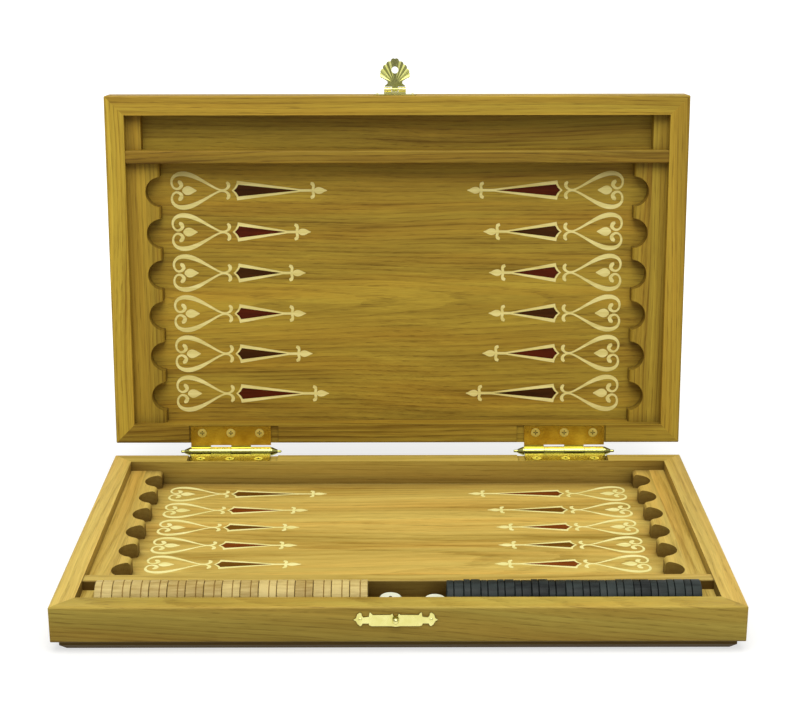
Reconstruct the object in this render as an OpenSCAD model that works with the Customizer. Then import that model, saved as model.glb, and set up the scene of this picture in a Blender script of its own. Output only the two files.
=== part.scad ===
// Folding oak backgammon box, standing open with its draughts and dice in the front tray.
// Both halves are the same frame, board and fittings. Each is drawn lying with its rim up and its
// hinge side towards +Y, with the rim's plane at Z = 0, and then set in its place.
// The origin is the middle of the lower half's underside, +Z is up and the front faces -Y.

/* [Case] */
// Outside width of the case, along the hinges
case_w = 500; // [450:1:560]
// Outside depth of one half, from the hinge side to the clasp side
case_d = 305.5; // [296:0.5:330]
// Height of the rails of one half
rail_h = 28; // [26:0.5:34]
// Thickness of the rails
rail_t = 16.5; // [15:0.5:18]
// Radius on the rails' outer edges
rail_edge_r = 1.6; // [0.5:0.1:3]
// How far the lid stands open, from closed
lid_open = 95.35; // [91:0.05:110]
// Gap between the two rims when the case is shut
rim_gap = 0.4; // [0.3:0.05:0.8]

/* [Board and panel] */
// Depth of the playing board's face below the rim
field_depth = 21; // [19:0.5:22]
// How far the board reaches into the rails
board_lip = 5.5; // [3:0.5:8]
// Play at the board's hidden edges
board_play = 0.2; // [0.1:0.05:0.5]
// Thickness of the raised panel on the outside
panel_t = 9; // [6:0.5:12]
// Distance of the panel's edge from the outside of the rails
panel_inset = 5.5; // [4:0.5:9]
// Bevel along the panel's outer edge
panel_bevel = 4.5; // [2:0.5:5.5]

/* [Tray and scalloped strips] */
// Clear width of the tray for the draughts
tray_w = 30.3; // [29:0.1:33]
// Thickness of the divider between the tray and the board
divider_t = 11; // [8:0.5:13]
// How far the divider stays below the rim
divider_drop = 1; // [0.5:0.25:2]
// Radius on the divider's top edges
divider_r = 1.2; // [0.5:0.1:2]
// Width of the plain ledge along each side rail
ledge_w = 12.8; // [11:0.2:14]
// Height of the ledges and scalloped strips above the board
ledge_h = 12.3; // [10:0.1:14]
// Width of the scalloped strip beside the ledge
scallop_w = 15; // [14.5:0.1:17]
// Radius on the scalloped strip's inner top edge
scallop_edge_r = 3.6; // [2:0.2:5]
// Radius of each notch that holds a column of draughts
notch_r = 13.1; // [12.5:0.1:13.6]
// How far a notch's centre stands out from the strip's inner face
notch_out = 0.6; // [0.2:0.1:1.5]
// Distance of the first notch's centre from the hinge rail
notch_back_end = 23.8; // [22:0.2:26]
// Distance of the last notch's centre from the divider
notch_front_end = 25.3; // [22:0.1:27]

/* [Inlaid points] */
// Thickness of the inlaid wood
inlay_t = 1.2; // [0.8:0.1:2]
// Gap around the inlaid wood in its pocket
inlay_gap = 0.06; // [0.04:0.01:0.1]
// Distance from the scalloped strip to a point's heart
point_margin = 7.6; // [6:0.2:10]
// Length of the two longest points on each side
long_point_l = 137; // [130:0.5:142]
// Length of the points next to them
middle_point_l = 122.5; // [115:0.5:128]
// Length of the two middle points
short_point_l = 117.3; // [112:0.5:122]
// Half width of the kite's dark core
core_half_w = 5.1; // [4:0.1:5.5]
// Half width of the kite's light frame
kite_half_w = 8.5; // [7.5:0.1:9.5]

/* [Hinges] */
// Distance of each hinge's middle from the middle of the case
hinge_x = 148; // [120:1:160]
// Length of a hinge leaf
leaf_l = 71; // [64:1:80]
// Width of a hinge leaf on the rim
leaf_w = 15.4; // [14:0.2:16]
// Thickness of a hinge leaf
leaf_t = 1.4; // [1:0.1:2]
// Radius of the hinge's barrel
barrel_r = 4.15; // [3.6:0.05:4.6]
// Distance of the barrel's axis behind the back of the case
barrel_out = 7.7; // [6.5:0.1:9]
// Gap between two knuckles
knuckle_gap = 0.3; // [0.2:0.05:0.5]
// Gap between a leaf and the other leaf's knuckles
knuckle_relief = 1.6; // [0.3:0.1:2.5]
// Radius of the hinge pin
hinge_pin_r = 1.6; // [1.2:0.1:2]
// Radial play of a pin in its knuckles
pin_play = 0.05; // [0.02:0.01:0.09]
// Length of the cone on each end of the hinge pin
finial_cone_l = 5.6; // [4:0.2:7]
// Length of the thin tip beyond the cone
finial_tip_l = 3.6; // [2:0.2:5]
// Length that a hinge mortise runs past its leaf towards the outside
mortise_outer = 1.5; // [0.5:0.1:3]
// Length that a hinge mortise runs past its leaf towards the middle of the case
mortise_inner = 6.8; // [1:0.1:9]
// Distance between the screws of one leaf
screw_pitch = 25.4; // [22:0.2:28]
// Distance of the screws from the back of the case
screw_in = 9.2; // [7:0.1:10.5]
// Radius of a hinge screw's head
screw_head_r = 3.9; // [3.2:0.1:4.2]
// Radius of a hinge screw's shank
screw_r = 1.6; // [1.2:0.1:2]
// Length of a hinge screw
screw_l = 14; // [10:0.5:18]

/* [Clasp] */
// Place of the clasp along the front, from the middle of the case
clasp_x = -1.8; // [-10:0.1:10]
// Height of the clasp's axis above the lid's rim when the case is shut
clasp_up = 6.3; // [5:0.1:8]
// Distance of the clasp's axis from the front of the case
clasp_out = 5; // [4.4:0.1:6]
// Radius of the clasp's barrel
clasp_barrel_r = 2.1; // [1.8:0.05:2.3]
// Width of the clasp's barrel
clasp_barrel_l = 18.6; // [16:0.2:22]
// Width of the shell's own knuckle in the middle of that barrel
shell_knuckle_l = 5.2; // [4:0.2:7]
// Radius of the clasp's pin
clasp_pin_r = 0.8; // [0.6:0.05:1]
// Thickness of the shell's flat
shell_t = 1; // [0.8:0.1:1.3]
// Distance of the shell's eye from its axis
eye_l = 16.3; // [15:0.1:17]
// Radius of the shell's eye
eye_r = 2.9; // [2.8:0.05:3.3]
// Width of the plate that carries the shell
clasp_plate_w = 36.6; // [34:0.2:44]
// Height of the plate that carries the shell
clasp_plate_h = 12.5; // [10:0.2:14]
// Thickness of the plates of the clasp
plate_t = 0.8; // [0.6:0.1:1]
// Half the distance between the nails of the lid's plate
clasp_nail_x = 15.1; // [14.7:0.1:16]
// Half the distance between the nails of the strike plate
strike_nail_x = 25.4; // [24.8:0.1:26]
// Radius of the strike's knob
knob_r = 2.4; // [2:0.05:2.6]
// How far the strike's knob stands out from its plate
knob_l = 4.4; // [3.6:0.1:5]
// Radius of a nail's head
nail_head_r = 1.3; // [1:0.05:1.6]
// Radius of a nail's shank
nail_r = 0.65; // [0.5:0.05:0.9]
// Distance of the shell's flat from its axis, towards the case
shell_set = 1.4; // [1.2:0.05:1.5]
// Length of a nail in the wood
nail_l = 8; // [6:0.5:11]

/* [Draughts and dice] */
// Diameter of a draught
draught_d = 26.4; // [25:0.1:28]
// Thickness of a draught
draught_t = 12.2; // [10:0.1:12.4]
// Number of draughts in each row, as far as the tray has room for them beside the dice
draught_count = 15; // [10:1:15]
// Gap between the light draughts, which stand loosely
light_gap = 1.1; // [0.3:0.05:1.5]
// Gap between the dark draughts, which stand close together
dark_gap = 0.15; // [0.1:0.05:0.6]
// Width of the broad band on a draught's edge, up to its groove
broad_band = 6.4; // [5:0.1:6.8]
// Radius at the bottom of the groove in a draught's edge
groove_r = 0.7; // [0.5:0.1:1.4]
// Depth of the groove in a draught's edge
groove_depth = 1.5; // [1.4:0.1:2]
// Gap that a loose piece keeps from what it stands on and beside
loose_gap = 0.15; // [0.1:0.05:0.3]
// Length of a die's edge
die_w = 16; // [14:0.5:17]
// Radius of the ball that rounds a die's corners, as a share of its edge
die_round = 0.675; // [0.66:0.005:0.75]
// Distance of the left die from the light draughts
left_die_gap = 8.6; // [2:0.2:12]
// Distance of the left die's middle from the tray's middle, towards the front
left_die_front = 4; // [0:0.5:5]
// Distance of the right die from the dark draughts
right_die_gap = 0.6; // [0.4:0.2:6]

/* [Hidden] */

$fn = 48;
OAK = "#cfa85c";
OAK_BOARD = "#c39a4c";
LIGHT_WOOD = "#e8dca4";
BROWN_WOOD = "#4a2a12";
RED_WOOD = "#6e2214";
BRASS = "#d8c04a";
LIGHT_PIECE = "#dcc48c";
DARK_PIECE = "#35383a";
IVORY = "#f0ecd8";

half_h = rail_h + panel_t;
board_t = rail_h - field_depth;
inner_w = case_w - 2 * rail_t;
inner_d = case_d - 2 * rail_t;
back_in = case_d / 2 - rail_t;
front_in = -back_in;
divider_front = front_in + tray_w;
divider_back = divider_front + divider_t;
divider_h = field_depth - divider_drop;
ledge_in = inner_w / 2 - ledge_w;
scallop_in = ledge_in - scallop_w;
field_l = back_in - divider_back;
notch_count = 6;
notch_pitch = (field_l - notch_back_end - notch_front_end) / (notch_count - 1);
point_x = scallop_in - point_margin;
point_lengths = [long_point_l, middle_point_l, short_point_l, short_point_l, middle_point_l, long_point_l];
hinge_y = case_d / 2 + barrel_out;
hinge_z = rim_gap / 2;
knuckle_count = 4;
knuckle_l = leaf_l / knuckle_count;
knob_down = eye_l - clasp_up - rim_gap;
clasp_plate_up = 2.5;
nail_bore = nail_r + pin_play;
spigot_r = 1.3;
spigot_l = 9;
shell_feet = 2.4;
corner_r = 1.4;
tray_l = 2 * (ledge_in - loose_gap);
dice_l = left_die_gap + right_die_gap + 2 * die_w + loose_gap;
both_gaps = light_gap + dark_gap;
row_count = min(draught_count, floor((tray_l - dice_l + both_gaps) / (2 * draught_t + both_gaps)));
function row_l(gap) = row_count * draught_t + (row_count - 1) * gap;
left_die_x = loose_gap - ledge_in + row_l(light_gap) + left_die_gap + die_w / 2;
right_die_x = ledge_in - loose_gap - row_l(dark_gap) - right_die_gap - die_w / 2;
cut = 1;

function row_y(k) = back_in - notch_back_end - k * notch_pitch;

// A smooth curve through hand-chosen points, each with its own third value.
function curve_at(a, b, c, d, t) =
    (2 * b + (c - a) * t + (2 * a - 5 * b + 4 * c - d) * t * t
    + (3 * b - a - 3 * c + d) * t * t * t) / 2;
function curve(p, n) = concat(
    [for (i = [0 : len(p) - 2], s = [0 : n - 1])
        curve_at(p[max(i - 1, 0)], p[i], p[i + 1], p[min(i + 2, len(p) - 1)], s / n)],
    [p[len(p) - 1]]);
// The unit direction of a curve's samples, and the outline of the stroke along them.
function direction(q, i) =
    let (a = q[max(i - 1, 0)], b = q[min(i + 1, len(q) - 1)], v = [b[0] - a[0], b[1] - a[1]])
    v / norm(v);
function side_point(q, i, side, gap) =
    let (v = direction(q, i), half = side * (q[i][2] + gap), last = len(q) - 1,
        past = i == 0 ? -gap : i == last ? gap : 0)
    [q[i][0] - v[1] * half + past * v[0], q[i][1] + v[0] * half + past * v[1]];
function stroke(q, gap) = concat(
    [for (i = [0 : len(q) - 1]) side_point(q, i, 1, gap)],
    [for (i = [len(q) - 1 : -1 : 0]) side_point(q, i, -1, gap)]);
// An outline, listed clockwise, with every side moved out by a gap.
function moved_corner(p, i, gap) =
    let (n = len(p), a = p[(i + n - 1) % n], b = p[i], c = p[(i + 1) % n],
        u = (b - a) / norm(b - a), v = (c - b) / norm(c - b), m = [-u[1] - v[1], u[0] + v[0]])
    b + m * gap * 2 / (m * m);
function grown(p, gap) = [for (i = [0 : len(p) - 1]) moved_corner(p, i, gap)];

// One scroll of the heart, from its curled head round to the knob behind the tie:
// distance from the heart's back, height above the point's axis and half width, in mm.
heart_scroll = [
    [6.8, 8.0, 0.9], [8.5, 7.2, 1.75], [9.8, 4.6, 1.6], [8.1, 2.2, 1.2], [5.2, 1.4, 0.95],
    [2.5, 3.0, 0.85], [1.2, 6.2, 0.9], [1.6, 9.8, 1.1], [3.9, 12.8, 1.4], [7.8, 14.5, 1.75],
    [12.2, 14.7, 2.0], [16.8, 13.8, 2.0], [22.0, 11.8, 1.75], [27.2, 9.1, 1.35], [32.5, 6.1, 1.05],
    [37.7, 3.1, 0.85], [42.8, 0.7, 0.75], [46.6, 0.5, 0.75], [49.2, 1.5, 1.0], [50.8, 3.6, 1.4],
    [50.6, 5.9, 1.45], [49.1, 7.4, 0.8]
];
// The bud inside the heart and the bud at the tip: distance along the axis and half width.
heart_bud = [[10.4, 0, 0.9], [12.2, 0, 2.9], [14.6, 0, 3.9], [17.4, 0, 3.4], [20.2, 0, 1.8], [22.8, 0, 0.3]];
tip_bud = [[1.9, 0, 1.6], [3.6, 0, 2.6], [5.8, 0, 2.95], [8.2, 0, 2.3], [10.4, 0, 1.1], [12.6, 0, 0.25]];
// One arm of the cross before the tip bud.
cross_arm = [[0.3, 1.0, 1.2], [0.8, 3.6, 1.15], [0.1, 5.6, 1.55], [-1.7, 6.4, 1.05]];
// The kite's blunt end, from its tip on the axis to its shoulder: along, and share of the half width.
kite_x = 53.6;
kite_end = [[0, 0], [2.4, 0.29], [4.1, 0.64], [4.7, 1]];
core_end = [[1.9, 0], [4.1, 0.4], [5.9, 1]];
core_share = 0.82;
stem_half_w = 1.1;
stem_over = 2;
tip_l = 12.8;
smooth = 2;

function arm_x(l) = l - tip_l;
function core_tip(l) = kite_x + core_share * (arm_x(l) - kite_x);
function both_sides(p, tip) = concat(
    [for (q = p) [kite_x + q[0], q[1]]], tip,
    [for (i = [len(p) - 1 : -1 : 1]) [kite_x + p[i][0], -p[i][1]]]);
function core_outline(l) =
    both_sides([for (q = core_end) [q[0], q[1] * core_half_w]], [[core_tip(l), 0]]);
function kite_outline(l) = both_sides(
    [for (q = kite_end) [q[0], q[1] * kite_half_w]],
    [[core_tip(l) + stem_over, stem_half_w], [arm_x(l) - stem_over / 2, stem_half_w],
     [arm_x(l) - stem_over / 2, -stem_half_w], [core_tip(l) + stem_over, -stem_half_w]]);

// The outline of one inlaid point of length l, pointing along +X, grown by a gap.
module light_point(l, gap) {
    for (s = [0, 1]) {
        mirror([0, s, 0]) polygon(stroke(curve(heart_scroll, smooth), gap));
        translate([arm_x(l), 0]) mirror([0, s, 0]) polygon(stroke(curve(cross_arm, smooth), gap));
    }
    polygon(stroke(curve(heart_bud, smooth), gap));
    polygon(grown(kite_outline(l), gap));
    translate([arm_x(l), 0])
        polygon(stroke([[-stem_over, 0, stem_half_w], [stem_over, 0, stem_half_w]], gap));
    translate([arm_x(l), 0]) polygon(stroke(curve(tip_bud, smooth), gap));
}
// All points of a board, or those with an even or odd place along the board and side.
module each_point(which) {
    for (k = [0 : notch_count - 1], side = [0, 1]) {
        if (which == 2 || (k + side) % 2 == which) {
            mirror([side, 0, 0]) translate([-point_x, row_y(k), 0]) {
                $point_l = point_lengths[k];
                children();
            }
        }
    }
}
module light_inlays() {
    translate([0, 0, -field_depth - inlay_t]) each_point(2) linear_extrude(inlay_t) difference() {
        light_point($point_l, 0);
        polygon(grown(core_outline($point_l), inlay_gap));
    }
}
module core_inlays(which) {
    translate([0, 0, -field_depth - inlay_t]) each_point(which) linear_extrude(inlay_t)
        polygon(core_outline($point_l));
}

// The rail's section, from its outer face inwards and from its rim downwards.
module rail_section() {
    r = rail_edge_r;
    difference() {
        union() {
            translate([r, -rail_h]) square([rail_t - r, rail_h]);
            translate([0, r - rail_h]) square([rail_t, rail_h - 2 * r]);
            translate([r, -r]) circle(r);
            translate([r, r - rail_h]) circle(r);
        }
        translate([rail_t - board_lip, -rail_h - cut]) square([board_lip + cut, board_t + cut]);
    }
}
// A mitred rail along X, with its outer face at Y = 0 and its inside towards +Y.
module rail(length) {
    intersection() {
        translate([-length / 2, 0, 0]) rotate([90, 0, 90]) linear_extrude(length) rail_section();
        translate([0, 0, -rail_h - cut]) linear_extrude(rail_h + 2 * cut) polygon([
            [-length / 2, 0], [length / 2, 0],
            [length / 2 - rail_t, rail_t], [rail_t - length / 2, rail_t]
        ]);
        translate([0, 0, -rail_h - cut]) linear_extrude(rail_h + 2 * cut) {
            for (x = [-1, 1]) translate([x * (length / 2 - corner_r), corner_r]) circle(corner_r);
            translate([-length / 2, corner_r]) square([length, rail_t]);
            translate([corner_r - length / 2, 0]) square([length - 2 * corner_r, rail_t]);
        }
    }
}
module side_rail(side) {
    translate([side * case_w / 2, 0, 0]) rotate([0, 0, side * 90]) rail(case_d);
}
module back_rail() {
    difference() {
        translate([0, case_d / 2, 0]) rotate([0, 0, 180]) rail(case_w);
        for (side = [-1, 1]) {
            hinge_mortise(side);
            hinge_screw_places(side) screw_hole();
        }
    }
}
module front_rail() {
    translate([0, -case_d / 2, 0]) rail(case_w);
}
// The lower half's front rail takes the strike's nails and the knob's spigot.
module base_front_rail() {
    difference() {
        front_rail();
        at_strike() {
            for (x = [-strike_nail_x, strike_nail_x])
                translate([x, 0, -nail_l]) cylinder(h = nail_l + cut, r = nail_bore);
            translate([0, 0, -spigot_l]) cylinder(h = spigot_l + cut, r = spigot_r + pin_play);
        }
    }
}
module lid_front_rail() {
    difference() {
        front_rail();
        clasp_nail_places() translate([0, 0, -nail_l]) cylinder(h = nail_l + cut, r = nail_bore);
    }
}
module board() {
    w = inner_w + 2 * board_lip - 2 * board_play;
    d = inner_d + 2 * board_lip - 2 * board_play;
    difference() {
        translate([-w / 2, -d / 2, -rail_h]) cube([w, d, board_t]);
        translate([0, 0, -field_depth - inlay_t]) each_point(2)
            linear_extrude(inlay_t + cut) light_point($point_l, inlay_gap);
    }
}
// The raised panel on the outside, with a bevelled edge.
module outer_panel() {
    w = case_w - 2 * panel_inset;
    d = case_d - 2 * panel_inset;
    b = panel_bevel;
    intersection() {
        translate([0, d / 2, -half_h]) rotate([90, 0, 0]) linear_extrude(d) bevelled_side(w, b);
        translate([-w / 2, 0, -half_h]) rotate([90, 0, 90]) linear_extrude(w) bevelled_side(d, b);
    }
}
module bevelled_side(w, b) {
    polygon([[b - w / 2, 0], [w / 2 - b, 0], [w / 2, b], [w / 2, panel_t], [-w / 2, panel_t], [-w / 2, b]]);
}
module ledge(side) {
    x = side > 0 ? ledge_in : -inner_w / 2;
    translate([x, front_in, -field_depth]) cube([ledge_w, inner_d, ledge_h]);
}
// The strip with half-round notches, one beside each inlaid point.
module scallop_strip(side) {
    r = scallop_edge_r;
    difference() {
        mirror([side > 0 ? 0 : 1, 0, 0]) translate([scallop_in, back_in, -field_depth])
            rotate([90, 0, 0]) linear_extrude(field_l) union() {
                square([scallop_w, ledge_h - r]);
                translate([r, 0]) square([scallop_w - r, ledge_h]);
                translate([r, ledge_h - r]) circle(r);
            }
        for (k = [0 : notch_count - 1])
            translate([side * (scallop_in - notch_out), row_y(k), -field_depth - cut])
                cylinder(h = ledge_h + 2 * cut, r = notch_r, $fn = 96);
    }
}
// The divider stands on the board and reaches over both ledges to the side rails.
module tray_divider() {
    r = divider_r;
    difference() {
        translate([-inner_w / 2, divider_front, -field_depth]) rotate([90, 0, 90])
            linear_extrude(inner_w) union() {
                square([divider_t, divider_h - r]);
                translate([r, 0]) square([divider_t - 2 * r, divider_h]);
                for (y = [r, divider_t - r]) translate([y, divider_h - r]) circle(r);
            }
        for (side = [-1, 1])
            translate([side * inner_w / 2 - ledge_w, divider_front - cut, -field_depth - cut])
                cube([2 * ledge_w, divider_t + 2 * cut, ledge_h + cut]);
    }
}

// Hinge parts lie in the rim of a half; side -1 is the hinge towards -X.
module hinge_mortise(side) {
    outer = leaf_l / 2 + mortise_outer;
    inner = leaf_l / 2 + mortise_inner;
    x = side > 0 ? side * hinge_x - inner : side * hinge_x - outer;
    translate([x, case_d / 2 - leaf_w - loose_gap, -leaf_t])
        cube([outer + inner, leaf_w + loose_gap + cut, leaf_t + cut]);
}
module hinge_screw_places(side) {
    for (i = [-1 : 1]) translate([side * hinge_x + i * screw_pitch, case_d / 2 - screw_in, 0]) children();
}
module knuckle_span(side, k, grow, r) {
    x = side * hinge_x - leaf_l / 2 + k * knuckle_l;
    translate([x + knuckle_gap / 2 - grow, hinge_y, hinge_z]) rotate([0, 90, 0])
        cylinder(h = knuckle_l - knuckle_gap + 2 * grow, r = r);
}
// A leaf with every second knuckle; first is 0 or 1.
module hinge_leaf(side, first) {
    difference() {
        union() {
            difference() {
                translate([side * hinge_x - leaf_l / 2, case_d / 2 - leaf_w, -leaf_t])
                    cube([leaf_l, leaf_w + barrel_out, leaf_t]);
                for (k = [1 - first : 2 : knuckle_count - 1])
                    knuckle_span(side, k, knuckle_gap, barrel_r + knuckle_relief);
            }
            for (k = [first : 2 : knuckle_count - 1]) knuckle_span(side, k, 0, barrel_r);
        }
        translate([side * hinge_x - leaf_l, hinge_y, hinge_z]) rotate([0, 90, 0])
            cylinder(h = 2 * leaf_l, r = hinge_pin_r + pin_play);
        hinge_screw_places(side) translate([0, 0, -leaf_t])
            cylinder(h = leaf_t, r1 = screw_head_r - leaf_t + pin_play, r2 = screw_head_r + pin_play);
    }
}
// The pin runs through all knuckles and carries a turned finial at each end.
module hinge_pin(side) {
    reach = leaf_l / 2 + knuckle_gap / 2;
    cone_r = barrel_r - 0.3;
    collar_t = 0.8;
    tip_r = 1.2;
    tip_base_r = 1.7;
    translate([side * hinge_x, hinge_y, hinge_z]) rotate([0, 90, 0]) rotate_extrude() difference() {
        union() {
            translate([0, -reach]) square([hinge_pin_r, 2 * reach]);
            for (s = [0, 1]) mirror([0, s]) translate([0, reach]) {
                square([cone_r, collar_t]);
                polygon([[0, collar_t], [cone_r, collar_t], [tip_base_r, finial_cone_l], [0, finial_cone_l]]);
                square([tip_r, finial_cone_l + finial_tip_l - tip_r]);
                translate([0, finial_cone_l + finial_tip_l - tip_r]) circle(tip_r);
            }
        }
        translate([-2 * leaf_l, -2 * leaf_l]) square([2 * leaf_l, 4 * leaf_l]);
    }
}
module hinge_screws() {
    for (side = [-1, 1]) hinge_screw_places(side) screw();
}
module screw_hole() {
    cone = screw_head_r - screw_r;
    translate([0, 0, -screw_l - pin_play]) cylinder(h = screw_l, r = screw_r + pin_play);
    translate([0, 0, -cone]) cylinder(h = cone, r1 = screw_r + pin_play, r2 = screw_head_r + pin_play);
}
// A countersunk screw with a cross slot, its head level with the rim.
module screw() {
    cone = screw_head_r - screw_r;
    point = 3;
    slot_w = 0.9;
    slot_l = 3.8;
    slot_h = 1.1;
    difference() {
        union() {
            translate([0, 0, -cone]) cylinder(h = cone, r1 = screw_r, r2 = screw_head_r);
            translate([0, 0, point - screw_l]) cylinder(h = screw_l - cone - point, r = screw_r);
            translate([0, 0, -screw_l]) cylinder(h = point, r1 = 0.3, r2 = screw_r);
        }
        for (a = [0, 90]) rotate([0, 0, a]) translate([-slot_l / 2, -slot_w / 2, -slot_h])
            cube([slot_l, slot_w, slot_h + cut]);
    }
}

// The clasp's parts are drawn about the middle of their barrel, in the lid's own position.
module at_clasp() {
    translate([-clasp_x, -case_d / 2 - clasp_out, -clasp_up]) children();
}
module clasp_nail_places() {
    at_clasp() for (x = [-clasp_nail_x, clasp_nail_x])
        translate([x, clasp_out, clasp_plate_up - clasp_plate_h / 2]) rotate([90, 0, 0]) children();
}
module barrel(r, length) {
    rotate([0, 90, 0]) translate([0, 0, -length / 2]) cylinder(h = length, r = r);
}
// The lid's plate with its two knuckles, which stand out on a lug.
module clasp_plate() {
    w = clasp_plate_w;
    h = clasp_plate_h;
    c = 2.5;
    lug_t = 1.6;
    difference() {
        at_clasp() difference() {
            union() {
                translate([0, clasp_out, clasp_plate_up - h]) rotate([90, 0, 0]) linear_extrude(plate_t)
                    polygon([
                        [c - w / 2, 0], [w / 2 - c, 0], [w / 2, c], [w / 2, h - c],
                        [w / 2 - c, h], [c - w / 2, h], [-w / 2, h - c], [-w / 2, c]
                    ]);
                translate([-clasp_barrel_l / 2, 0, -lug_t / 2])
                    cube([clasp_barrel_l, clasp_out - plate_t / 2, lug_t]);
                barrel(clasp_barrel_r, clasp_barrel_l);
            }
            barrel(clasp_pin_r + pin_play, clasp_barrel_l + cut);
            barrel(clasp_barrel_r + knuckle_gap, shell_knuckle_l + 2 * knuckle_gap);
        }
        clasp_nail_places() cylinder(h = 2 * plate_t, r = nail_bore);
    }
}
// Half of the shell's outline, from its feet round to its top lobe: across and up from the axis.
shell_side = [
    [-0.1, 2.4], [8.6, 2.4], [8.6, 3.2], [6.3, 5], [6.5, 6.9], [12.2, 10.6], [12.3, 13],
    [11.8, 14.6], [10, 18.3], [7.1, 21.6], [3.2, 24.1], [-0.1, 24.4]
];
// The round lobes along the shell's edge: across, up and radius.
shell_lobes = [[10.5, 12, 2.5], [9.7, 14.9, 2.6], [7.7, 18.3, 2.6], [4.8, 21, 2.6], [1.3, 24, 2.1]];
// Directions of the shell's flutes and of the seams between them, from the middle of its neck.
shell_flutes = [0, 16.3, 29, 43, 56.5];
shell_seams = [9.5, 22.6, 36, 49.5];
shell_hub = 4.5;
flute_start = 3;
flute_l = 26;
flute_flare = 0.12;
flute_share = 0.95;
flute_tilt = atan(flute_share * shell_t / flute_l);
flute_slope = 20;
seam_w = 0.7;
seam_depth = 0.3;
module shell_outline() {
    for (s = [0, 1]) mirror([s, 0]) {
        polygon(shell_side);
        for (l = shell_lobes) translate([l[0], l[1]]) circle(l[2]);
    }
}
// A flute widens and deepens from the shell's neck to its edge; it is cut from the face at height z.
module shell_flute(angle, z) {
    translate([0, -shell_hub, z]) rotate([flute_tilt, 0, angle]) for (s = [0, 1]) mirror([s, 0])
        rotate([0, -flute_slope, 0]) linear_extrude(3 * shell_t)
            polygon([[0, -flute_start], [flute_flare * flute_l, -flute_l], [0, -flute_l]]);
}
module shell_seam(angle, z) {
    translate([0, -shell_hub, z]) rotate([0, 0, angle]) translate([-seam_w / 2, -flute_l, seam_depth - cut])
        cube([seam_w, flute_l - flute_start, cut]);
}
// The shell stands up from its axis in the lid's open position, fluted inside and ribbed outside.
module clasp_shell() {
    low = shell_set - shell_t / 2;
    high = shell_set + shell_t / 2;
    at_clasp() difference() {
        union() {
            translate([0, 0, low]) linear_extrude(shell_t) mirror([0, 1]) shell_outline();
            translate([-shell_knuckle_l / 2, -shell_feet - cut, low])
                cube([shell_knuckle_l, shell_feet + cut, shell_t]);
            barrel(clasp_barrel_r, shell_knuckle_l);
        }
        for (angle = shell_flutes, s = [-1, 1]) if (angle > 0 || s > 0) shell_flute(s * angle, high);
        for (angle = shell_seams, s = [-1, 1]) shell_seam(s * angle, low);
        barrel(clasp_pin_r + pin_play, shell_knuckle_l + cut);
        translate([0, -eye_l, low - cut]) cylinder(h = shell_t + 2 * cut, r = eye_r);
    }
}
module clasp_pin() {
    at_clasp() barrel(clasp_pin_r, clasp_barrel_l);
}
// A nail with a domed head; the wood's face is at Z = 0 and the plate lies on it.
module nail() {
    dome = 0.7;
    r = (nail_head_r * nail_head_r + dome * dome) / (2 * dome);
    translate([0, 0, -nail_l]) cylinder(h = nail_l + plate_t, r = nail_r);
    translate([0, 0, plate_t]) difference() {
        translate([0, 0, dome - r]) sphere(r);
        translate([-2 * r, -2 * r, -4 * r]) cube(4 * r);
    }
}
module clasp_nails() {
    clasp_nail_places() nail();
}
module at_strike() {
    translate([clasp_x, -case_d / 2, -knob_down]) rotate([90, 0, 0]) children();
}
// Half of the strike plate's outline, from beside the middle of its top edge round to the bottom.
strike_side = [
    [0.4, 2.3], [1.6, 2.7], [2.3, 4.8], [3.5, 3.8], [16.4, 3.7], [17.6, 5.3], [18.5, 5.8],
    [19.1, 2.4], [23, 1.8], [24.2, 3.2], [24.3, 4.8], [25.5, 5.7], [27.4, 4.2], [28.3, 1.2],
    [30.2, 0], [28.3, -1.2], [27.2, -3.4], [25.2, -5.1], [24.2, -4.2], [23.6, -2.9],
    [19.3, -2.9], [18.9, -4.3], [17.2, -5], [3, -5], [0.6, -5.4]
];
strike_outline = concat(
    strike_side,
    [for (i = [len(strike_side) - 1 : -1 : 0]) [-strike_side[i][0], strike_side[i][1]]]);
module strike_plate() {
    at_strike() difference() {
        linear_extrude(plate_t) polygon(strike_outline);
        translate([0, 0, -cut]) cylinder(h = plate_t + 2 * cut, r = spigot_r + pin_play);
        for (x = [-strike_nail_x, strike_nail_x])
            translate([x, 0, -cut]) cylinder(h = plate_t + 2 * cut, r = nail_bore);
    }
}
module strike_knob() {
    neck_r = 1.7;
    at_strike() {
        translate([0, 0, -spigot_l]) cylinder(h = spigot_l + plate_t, r = spigot_r);
        translate([0, 0, plate_t]) cylinder(h = knob_l - knob_r, r = neck_r);
        translate([0, 0, plate_t + knob_l - knob_r]) sphere(knob_r);
    }
}
module strike_nails() {
    at_strike() for (x = [-strike_nail_x, strike_nail_x]) translate([x, 0, 0]) nail();
}

// A draught lying on its narrow face, with its groove nearer to that face and a ring on each face.
module draught() {
    r = draught_d / 2;
    e = 0.8;
    ring_at = r - 4;
    ring_r = 0.5;
    rotate_extrude($fn = 96) difference() {
        union() {
            square([r - e, draught_t]);
            translate([0, e]) square([r, draught_t - 2 * e]);
            for (z = [e, draught_t - e]) translate([r - e, z]) circle(e);
        }
        translate([r - groove_depth + groove_r, draught_t - broad_band - groove_r]) {
            circle(groove_r);
            translate([0, -groove_r]) square([groove_depth, 2 * groove_r]);
        }
        for (z = [0, draught_t]) translate([ring_at, z]) circle(ring_r);
    }
}
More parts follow.
